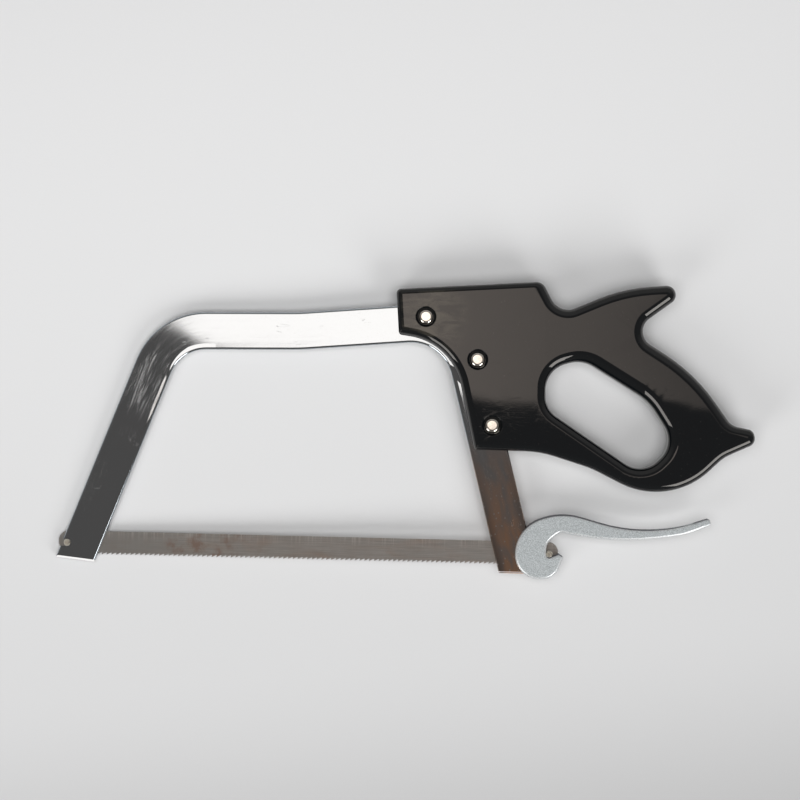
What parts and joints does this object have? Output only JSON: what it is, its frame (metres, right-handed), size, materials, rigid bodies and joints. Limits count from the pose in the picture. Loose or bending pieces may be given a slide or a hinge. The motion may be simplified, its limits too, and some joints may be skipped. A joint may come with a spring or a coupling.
{
  "type": "butcher saw",
  "caption": "Butcher saw with a bent flat-bar bow, a narrow toothed blade on cross pins, a cam lever that tightens the blade and a dark moulded closed grip.",
  "frame": {"origin": "middle of the saw's own box, on the plane that its lower grip face lies in", "axes": "+X along the blade from the front end to the grip, +Y from the teeth to the top bar, +Z square to the flat of the saw"},
  "size_m": [0.4612, 0.1966, 0.026],
  "materials": {
    "polished_bar": "polished",
    "grip_plastic": "gloss",
    "rivet_metal": "polished",
    "blade_steel": "ground",
    "pin_steel": "satin",
    "lever_metal": "satin cast"
  },
  "bodies": {
    "frame": {"bow_frame": "polished_bar", "handle_shell_top": "grip_plastic", "handle_shell_bottom": "grip_plastic", "front_rivet_barrel": "rivet_metal", "front_rivet_pin": "rivet_metal", "middle_rivet_barrel": "rivet_metal", "middle_rivet_pin": "rivet_metal", "lower_rivet_barrel": "rivet_metal", "lower_rivet_pin": "rivet_metal"},
    "blade": {"saw_blade": "blade_steel", "front_blade_pin": "pin_steel", "rear_blade_pin": "pin_steel"},
    "lever": {"tension_lever": "lever_metal"}
  },
  "joints": [
    {"name": "blade_slack", "type": "slide", "parent": "frame", "child": "blade", "axis": [-1, 0, 0], "range_m": [0, 0.00362]},
    {"name": "lever_swing", "type": "hinge", "parent": "blade", "child": "lever", "pos_m": [0.09678, -0.08165, 0.013], "axis": [0, 0, -1], "range_deg": [0, 95]}
  ],
  "couplings": [
    {"joint": "blade_slack", "follows": "lever_swing", "m_per_rad": 0.0021772}
  ]
}
